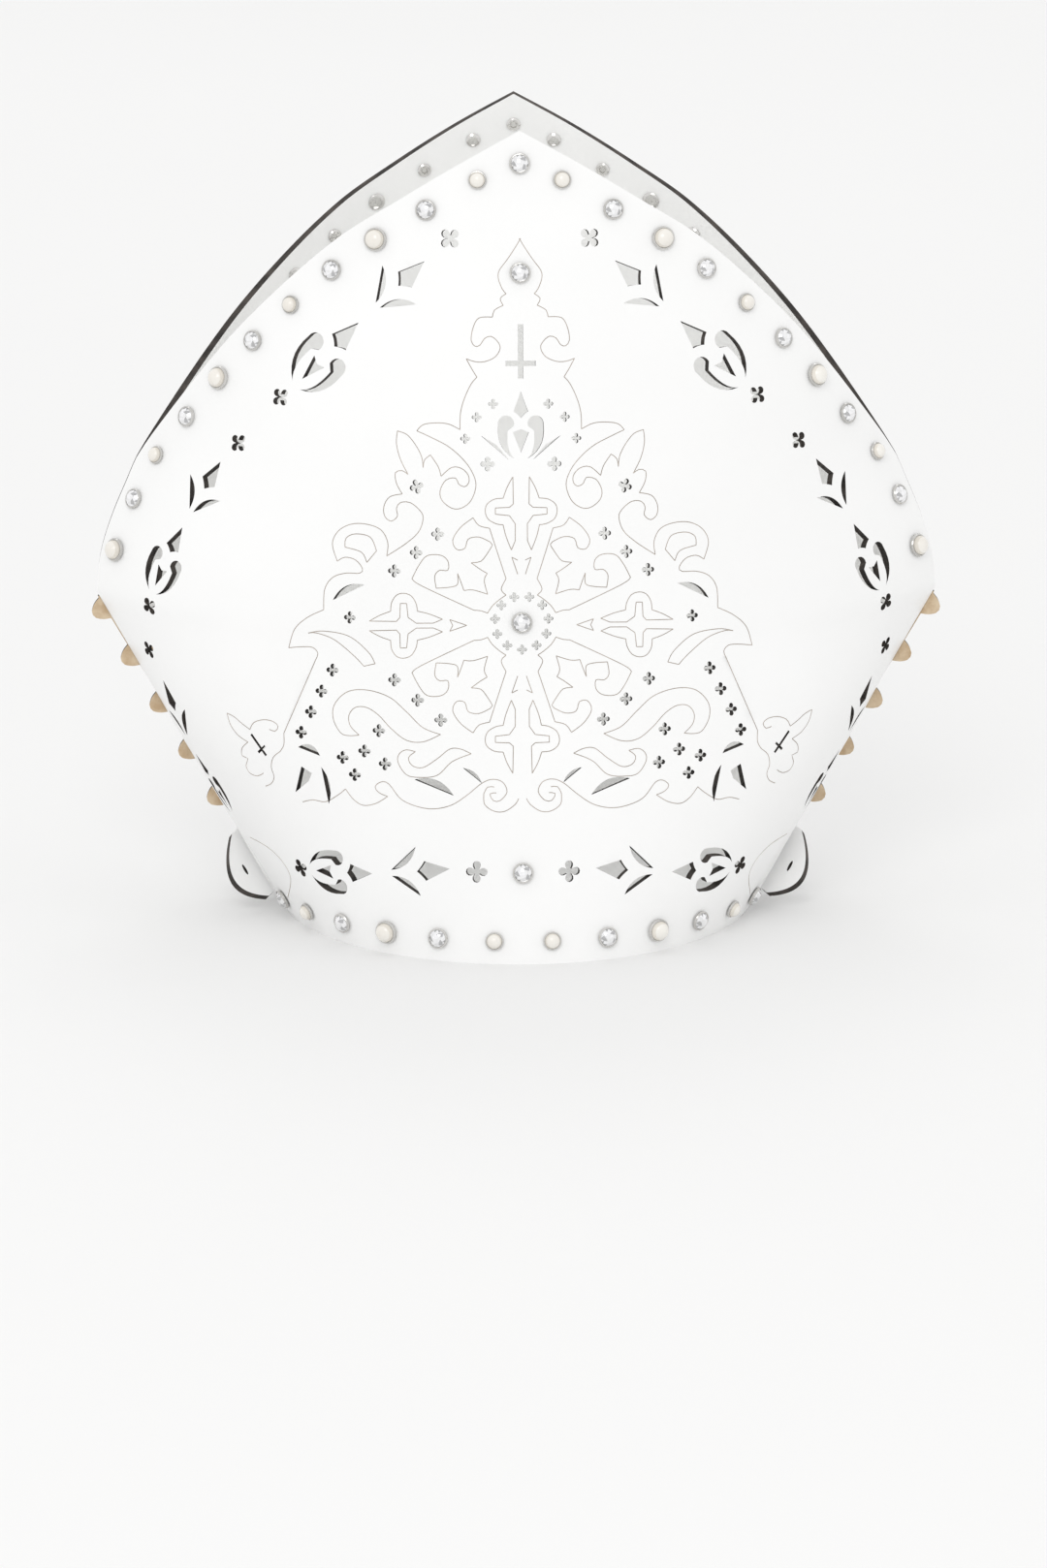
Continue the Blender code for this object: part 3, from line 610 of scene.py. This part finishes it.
def plate(name, outline, holes, lines, lay, pitch, materials, flip=False):
    """A sheet of leather of real thickness: lay gives each flat point its outer, inner and engraved place."""
    flat, faces, engraved = flat_triangles(outline, holes, lines, pitch)
    layers = [[], [], []]
    bm = bmesh.new()
    for spot in flat:
        for layer, point in zip(layers, lay(*spot)):
            layer.append(point)
    made = {}

    def vert(layer, i):
        if (layer, i) not in made:
            made[layer, i] = bm.verts.new(layers[layer][i])
        return made[layer, i]

    def add(corners, index, flat_shaded=False):
        if flip:
            corners = corners[::-1]
        face = bm.faces.new(corners)
        face.material_index = index
        face.smooth = not flat_shaded

    rims, banks = {}, {}
    for face, sunk in zip(faces, engraved):
        face = [int(i) for i in face]
        top = SUNK if sunk else OUTER
        add([vert(top, i) for i in face], LINE_LOOK if sunk else OUTER_LOOK)
        add([vert(INNER, i) for i in reversed(face)], INNER_LOOK)
        for a, b in zip(face, face[1:] + face[:1]):
            other = rims.pop((b, a), None)
            if other is None:
                rims[a, b] = top
            elif other != top:
                banks[a, b] = (top, other)
    for (a, b), top in rims.items():
        add([vert(top, b), vert(top, a), vert(INNER, a), vert(INNER, b)], CUT_LOOK, True)
    for (a, b), (here, there) in banks.items():
        add([vert(here, b), vert(here, a), vert(there, a), vert(there, b)], LINE_LOOK, True)
    mesh = bpy.data.meshes.new(name)
    bm.to_mesh(mesh)
    bm.free()
    for material in materials:
        mesh.materials.append(material)
    mesh.set_sharp_from_angle(angle=math.radians(LEATHER_SHARP_ANGLE))
    piece = bpy.data.objects.new(name, mesh)
    bpy.context.scene.collection.objects.link(piece)
    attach(piece, "root")
    return piece


def panel_outline():
    """Outline of a panel laid flat, from the middle of its rim by the left side."""
    count_rim, count_seam, count_free = 60, 36, 110
    rim = [(-seam_run(0) * i / count_rim, 0.0) for i in range(count_rim + 1)]
    seam = [(-seam_run(SHOULDER_HEIGHT * i / count_seam), SHOULDER_HEIGHT * i / count_seam)
            for i in range(1, count_seam + 1)]
    free = []
    for i in range(1, count_free + 1):
        z = SHOULDER_HEIGHT + (APEX_HEIGHT - SHOULDER_HEIGHT) * math.sin(math.pi / 2 * i / count_free)
        free.append((-edge_run(z), z))
    free[-1] = (0.0, APEX_HEIGHT)
    left = rim + seam + free
    return left + [(-s, z) for s, z in reversed(left[1:-1])]


def lay_panel(side):
    """How a panel's flat points stand: side is 1 for the front and -1 for the back."""
    def lay(s, z):
        spot = wall_point(s, z)
        level = wall_frame(s, z)[2]
        deep = spot + level * LEATHER
        deep.z = max(deep.z, 0) if z > 1e-6 else 0
        line = spot + level * LINE_DEPTH
        out = []
        for point in (spot, deep, line):
            y = min(point.y, -STRIP_THICKNESS / 2 - CLEARANCE)
            out.append((point.x, side * y, point.z))
        return out
    return lay


def side_strip(name, side, materials):
    """The strip in one side seam, with its rounded teeth standing out."""
    pitch = (STRIP_TOP - STRIP_BOTTOM - TOOTH_BASE) / (TOOTH_COUNT - 1)
    lean = (SHOULDER_HALF_WIDTH - RIM_HALF_WIDTH) / SHOULDER_HEIGHT
    out, along = Vector((1, -lean)).normalized(), Vector((lean, 1)).normalized()

    def root(z):
        return Vector((half_width(z) - CLEARANCE, z))

    flank = [(-0.48, 0.02), (-0.36, 0.52), (-0.16, 0.92)]
    tooth = smooth(flank + [(0.0, 1.0)] + mirrored(flank), 0.12)
    edge = [root(STRIP_BOTTOM)]
    for k in range(TOOTH_COUNT):
        middle = STRIP_BOTTOM + TOOTH_BASE / 2 + k * pitch
        edge += [root(middle) + along * share * TOOTH_BASE + out * reach * TOOTH_REACH
                 for share, reach in tooth]
    edge.append(root(STRIP_TOP))
    inner = [Vector((half_width(z) - LEATHER - STRIP_INNER_MARGIN, z)) for z in (STRIP_TOP, STRIP_BOTTOM)]
    half = STRIP_THICKNESS / 2

    def lay(x, z):
        return [(side * x, -half, z), (side * x, half, z), (side * x, -half, z)]
    return plate(name, [tuple(p) for p in edge + inner], [], [], lay, STRIP_PITCH, materials, flip=side < 0)


def ear_flap(name, side, materials):
    """Half of a leaf folded out of the lower corner along its crease, with a slot."""
    top = Vector((-seam_run(FLAP_TOP) + FLAP_THICKNESS, FLAP_TOP))
    foot = Vector((-seam_run(FLAP_BOTTOM) + FLAP_FORWARD, FLAP_BOTTOM))
    way = (wall_point(*foot) - wall_point(*top)).normalized()

    def lay(share, v):
        s, z = top + (foot - top) * (share / FLAP_REACH / 2)
        normal = -wall_frame(s, z)[2]
        out = (normal + Vector((0, -FLAP_TURN, 0))).normalized()
        thick = way.cross(out).normalized() * (FLAP_THICKNESS / 2)
        base = wall_point(s, z) + normal * (CLEARANCE + abs(thick.dot(normal)))
        step = v / FLAP_REACH
        middle = base + out * v + Vector((0, -FLAP_BOW * FLAP_REACH, 0)) * step * step
        places = []
        for point in (middle + thick, middle - thick, middle + thick):
            places.append((-side * point.x, point.y, max(point.z, 0.001)))
        return places

    count = 40
    rim = []
    for i in range(count + 1):
        share = i / count
        rim.append((share * 2 * FLAP_REACH, FLAP_REACH * math.sin(math.pi * (0.06 + 0.88 * share)) ** 0.8))
    outline = [(2 * FLAP_REACH * i / 12, 0.0) for i in range(13)] + rim[::-1]
    slot = [(FLAP_REACH + SLOT_HALF_LENGTH * math.cos(a), FLAP_REACH * 0.5 + SLOT_HALF_WIDTH * math.sin(a))
            for a in np.linspace(0, 2 * math.pi, 17)[:-1]]
    return plate(name, outline, [slot], [], lay, FLAP_PITCH, materials, flip=side > 0)


def mottled(name, dark, light, scale, roughness, relief, metallic):
    """A material whose colour drifts between two tones, with a fine relief where it has one."""
    made = bpy.data.materials.new(name)
    made.use_nodes = True
    tree = made.node_tree
    shader = tree.nodes["Principled BSDF"]
    shader.inputs["Roughness"].default_value = roughness
    shader.inputs["Metallic"].default_value = metallic
    where = tree.nodes.new("ShaderNodeTexCoord")
    noise = tree.nodes.new("ShaderNodeTexNoise")
    noise.inputs["Scale"].default_value = scale
    noise.inputs["Detail"].default_value = NOISE_DETAIL
    ramp = tree.nodes.new("ShaderNodeValToRGB")
    ramp.color_ramp.elements[0].position = 0.35
    ramp.color_ramp.elements[1].position = 0.65
    ramp.color_ramp.elements[0].color = (*dark, 1)
    ramp.color_ramp.elements[1].color = (*light, 1)
    tree.links.new(where.outputs["Object"], noise.inputs["Vector"])
    tree.links.new(noise.outputs["Fac"], ramp.inputs["Fac"])
    tree.links.new(ramp.outputs["Color"], shader.inputs["Base Color"])
    if relief:
        grain = tree.nodes.new("ShaderNodeTexVoronoi")
        grain.inputs["Scale"].default_value = scale * GRAIN_FINENESS
        bump = tree.nodes.new("ShaderNodeBump")
        bump.inputs["Strength"].default_value = relief
        bump.inputs["Distance"].default_value = GRAIN_HEIGHT
        tree.links.new(where.outputs["Object"], grain.inputs["Vector"])
        tree.links.new(grain.outputs["Distance"], bump.inputs["Height"])
        tree.links.new(bump.outputs["Normal"], shader.inputs["Normal"])
    return made, shader


def stud_places():
    """Every stud of a panel as (kind, s, z)."""
    path = [(-edge_run(z), z) for z in np.linspace(APEX_HEIGHT, SHOULDER_HEIGHT, 120)]
    run = np.concatenate([[0], np.cumsum([math.dist(a, b) for a, b in zip(path, path[1:])])])

    def edge_at(distance):
        return [float(np.interp(distance, run, [p[i] for p in path])) for i in (0, 1)]

    places = [("crystal", 0.0, APEX_HEIGHT - FIRST_STUD_DROP)]
    pitch = (run[-1] - EDGE_STUD_GAP) / EDGE_STUDS
    for k in range(1, EDGE_STUDS + 1):
        here, ahead = edge_at(k * pitch), edge_at(k * pitch + STUD_INSET / 4)
        heading = Vector((ahead[0] - here[0], ahead[1] - here[1])).normalized() * STUD_INSET
        s, z = on_wall(here, [(-heading.y, heading.x)])[0]
        places += [(STUD_ORDER[(k - 1) % len(STUD_ORDER)], side * s, z) for side in (1, -1)]
    pitch = (seam_run(0) - FLAP_FORWARD - RIM_STUD_GAP) / (RIM_STUDS - 0.5)
    for k in range(RIM_STUDS):
        kind = STUD_ORDER[k % len(STUD_ORDER)]
        places += [(kind, side * (k + 0.5) * pitch, RIM_STUD_HEIGHT) for side in (1, -1)]
    return places + [("crystal", *place(0, up)) for up in CENTRE_CRYSTALS]


def lathe(bm, seat, profile, sides, index, start=None):
    """Turn a profile of (radius, height) round a seat's axis. A radius of 0 closes it.

    With start, a ring made before, the surface goes on from there in place of the first row.
    """
    foot, across, up, out = seat
    rings = []
    for radius, height in profile:
        if start and not rings:
            rings.append(start)
            continue
        if radius == 0:
            rings.append([bm.verts.new(foot + out * height)])
            continue
        rings.append([bm.verts.new(foot + out * height + radius * (across * math.cos(a) + up * math.sin(a)))
                      for a in [2 * math.pi * i / sides for i in range(sides)]])
    for low, high in zip(rings, rings[1:]):
        for i in range(sides):
            j = (i + 1) % sides
            corners = [low[i % len(low)], low[j % len(low)], high[j % len(high)], high[i % len(high)]]
            face = bm.faces.new(list(dict.fromkeys(corners)))
            face.material_index = index
            face.smooth = True
    return rings[-1]


def cut_stone(bm, seat, radius, base):
    """A round brilliant: table, eight stars, eight kites and sixteen upper girdle facets."""
    foot, across, up, out = seat

    def ring(share, height, count, shift):
        return [bm.verts.new(foot + out * (base + height * radius) + share * radius
                             * (across * math.cos(a) + up * math.sin(a)))
                for a in [2 * math.pi * (i + shift) / count for i in range(count)]]

    table, star, girdle = ring(0.50, 0.46, 8, 0.0), ring(0.76, 0.30, 8, 0.5), ring(1.0, 0.0, 16, 0.0)
    under = bm.verts.new(foot + out * (base - 0.35 * radius))
    facets = [table]
    for i in range(8):
        j = (i + 1) % 8
        kite_corner = girdle[(2 * j) % 16]
        facets += [[table[i], star[i], table[j]], [table[j], star[i], kite_corner, star[j]],
                   [star[i], girdle[2 * i], girdle[2 * i + 1]], [star[i], girdle[2 * i + 1], kite_corner]]
    # Each facet takes one painted reflection tone in turn, the table the brightest glint
    for k, corners in enumerate(facets):
        face = bm.faces.new(corners)
        face.material_index = STONE_LOOK + (0 if k == 0 else (k * 5 + k // 3) % len(CRYSTAL_PAINTED_REFLECTIONS))
    # The pavilion below the girdle takes the flank's place, one more painted reflection tone
    for i in range(16):
        face = bm.faces.new([girdle[(i + 1) % 16], girdle[i], under])
        face.material_index = FLANK_PAINTED_LIGHT_LOOK


def studs(name, side, family, places, materials):
    """All studs of one family on one panel, each a stone in its cup with its rivet behind."""
    bm = bmesh.new()
    under = -LEATHER - CLEARANCE / 2
    for kind, s, z in places:
        if kind.split()[-1] != family:
            continue
        radius = STONE_RADIUS[kind]
        foot = wall_point(s, z)
        across, up, level, _, _ = wall_frame(s, z)
        out = -level
        seat = [Vector((v.x, side * v.y, v.z)) for v in (foot, across, up, out)]
        cup = [(radius * 0.55, CUP_LIFT), (radius * 0.93, CUP_LIFT), (radius * 1.04, radius * 0.12),
               (radius * 1.06, radius * 0.30), (radius * 1.0, radius * 0.40), (radius * 0.90, radius * 0.41),
               (radius * 0.86, radius * 0.34), (radius * 0.55, radius * 0.2), (radius * 0.55, CUP_LIFT)]
        lathe(bm, seat, cup, CUP_SIDES, CUP_LOOK)
        if family == "crystal":
            cut_stone(bm, seat, radius * 0.88, radius * 0.36)
            cap = [(0, under + 0.0002), (RIVET_RADIUS, under), (RIVET_RADIUS * 1.02, under - 0.0005),
                   (RIVET_RADIUS * 0.8, under - 0.0010), (RIVET_RADIUS * 0.5, under - 0.0009),
                   (RIVET_RADIUS * 0.36, under - 0.0003), (0, under - 0.0003)]
        else:
            dome = [(radius * 0.87 * math.cos(a), radius * (0.36 + 0.74 * math.sin(a)))
                    for a in np.linspace(0.0, math.pi / 2, 9)[:-1]]
            bed = [(0, radius * 0.22), (radius * 0.86, radius * 0.22)]
            # The bed and lower band of the dome take the flank's place: on a pearl, painted shade
            flank = lathe(bm, seat, bed + dome[:4], CUP_SIDES, FLANK_PAINTED_LIGHT_LOOK)
            lathe(bm, seat, dome[3:] + [(0, radius * 1.10)], CUP_SIDES, STONE_LOOK, start=flank)
            wide = RIVET_RADIUS * (1.25 if kind.startswith("large") else 1.05)
            cap = [(0, under + 0.0002), (wide, under), (wide * 1.02, under - 0.0004),
                   (wide * 0.8, under - 0.0009), (wide * 0.45, under - 0.0012), (0, under - 0.0013)]
        lathe(bm, seat, cap, CAP_SIDES, CAP_LOOK)
        foot_end, stone_end = under - 0.0001, radius * 0.21
        post = [(0, foot_end), (POST_RADIUS, foot_end), (POST_RADIUS, stone_end), (0, stone_end)]
        lathe(bm, seat, post, POST_SIDES, CUP_LOOK)
    bmesh.ops.recalc_face_normals(bm, faces=bm.faces)
    mesh = bpy.data.meshes.new(name)
    bm.to_mesh(mesh)
    bm.free()
    for material in materials:
        mesh.materials.append(material)
    mesh.set_sharp_from_angle(angle=math.radians(STUD_SHARP_ANGLE))
    piece = bpy.data.objects.new(name, mesh)
    bpy.context.scene.collection.objects.link(piece)
    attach(piece, "root")
    return piece


def dress():
    """Make the looks, the leather pieces and the studs."""
    looks, shaders = {}, {}
    for name, values in LOOKS.items():
        looks[name], shaders[name] = mottled(name, *values)
    shaders["white leather"].inputs["Specular IOR Level"].default_value = 0.4
    shaders["pearl"].inputs["Coat Weight"].default_value = 0.6
    shaders["pearl"].inputs["Coat Roughness"].default_value = 0.08
    facets = []
    # Crystal facets: four tones of painted reflection, from glint to deep shade, on near-mirror facets
    for tone, value in CRYSTAL_PAINTED_REFLECTIONS.items():
        dark, light = (value * 0.9,) * 3, (value, value, value * 1.02)
        facet, shader = mottled("crystal " + tone, dark, light, *CRYSTAL_FINISH)
        shader.inputs["Coat Weight"].default_value = 1.0
        shader.inputs["Coat Roughness"].default_value = 0.02
        facets.append(facet)

    white, inner, burnt, line, tan, steel, cap, pearl, flank = looks.values()
    leather = [white, inner, burnt, line]
    outline = panel_outline()
    front = plate("front_leather", outline, ornament(), engraving(), lay_panel(1), GRID_PITCH, leather)
    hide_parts("front_panel")
    back = plate("back_leather", outline, [], [], lay_panel(-1), GRID_PITCH, leather, flip=True)
    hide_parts("back_panel")
    for label, side in (("left", -1), ("right", 1)):
        strip = side_strip("toothed_strip_" + label, side, [tan, tan, burnt, tan])
        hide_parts("side_strip_" + label)
        flap = ear_flap("folded_flap_" + label, side, [white, white, burnt, white])
        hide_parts("ear_flap_" + label)
    places = stud_places()
    nodes = sorted(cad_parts)
    metals, border = [steel, cap], places[:-len(CENTRE_CRYSTALS)]
    # A pearl's flank material is its painted shade copy; the crystal facets are painted reflections
    for family, stones in (("crystal", facets), ("pearl", [pearl, flank])):
        front_studs = studs(f"front_{family}_studs", 1, family, places, metals + stones)
        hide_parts(*[node for node in nodes if node.startswith(family)])
        back_studs = studs(f"back_{family}_studs", -1, family, border, metals + stones)


def studio():
    """The floor, the lamps and the camera."""
    floor_mesh = bpy.data.meshes.new("floor")
    half = FLOOR_HALF_SIZE
    corners = [(-half, -half, 0), (half, -half, 0), (half, half, 0), (-half, half, 0)]
    floor_mesh.from_pydata(corners, [], [(0, 1, 2, 3)])
    floor = bpy.data.objects.new("floor", floor_mesh)
    bpy.context.scene.collection.objects.link(floor)
    paper, _ = mottled("pale floor", *FLOOR_LOOK)
    floor_mesh.materials.append(paper)
    world = bpy.data.worlds.new("studio")
    bpy.context.scene.world = world
    world.use_nodes = True
    world.node_tree.nodes["Background"].inputs["Color"].default_value = (1.0, 1.0, 1.0, 1)
    world.node_tree.nodes["Background"].inputs["Strength"].default_value = WORLD_STRENGTH
    for name, spot, size, power in LAMPS:
        data = bpy.data.lights.new(name, "AREA")
        data.size = size
        data.energy = power
        lamp = bpy.data.objects.new(name, data)
        lamp.location = spot
        lamp.rotation_euler = (Vector(LAMP_AIM) - Vector(spot)).to_track_quat("-Z", "Y").to_euler()
        bpy.context.scene.collection.objects.link(lamp)
    data = bpy.data.lights.new("inside", "POINT")
    data.energy = INSIDE_LAMP["power"]
    data.shadow_soft_size = INSIDE_LAMP["size"]
    lamp = bpy.data.objects.new("inside", data)
    lamp.location = LAMP_AIM
    bpy.context.scene.collection.objects.link(lamp)
    data = bpy.data.cameras.new("view")
    camera = bpy.data.objects.new("view", data)
    away = Vector((math.sin(VIEW_TURN) * math.cos(VIEW_RISE), -math.cos(VIEW_TURN) * math.cos(VIEW_RISE),
                   math.sin(VIEW_RISE)))
    camera.location = AIM + away * VIEW_DISTANCE
    camera.rotation_euler = away.to_track_quat("Z", "Y").to_euler()
    data.sensor_fit = "VERTICAL"
    data.sensor_height = SENSOR
    data.lens = SENSOR * VIEW_DISTANCE / (FRAME_HEIGHT * PIXEL)
    data.clip_end = 100
    bpy.context.scene.collection.objects.link(camera)
    bpy.context.scene.camera = camera
    bpy.context.scene.view_settings.view_transform = "Standard"


dress()
studio()
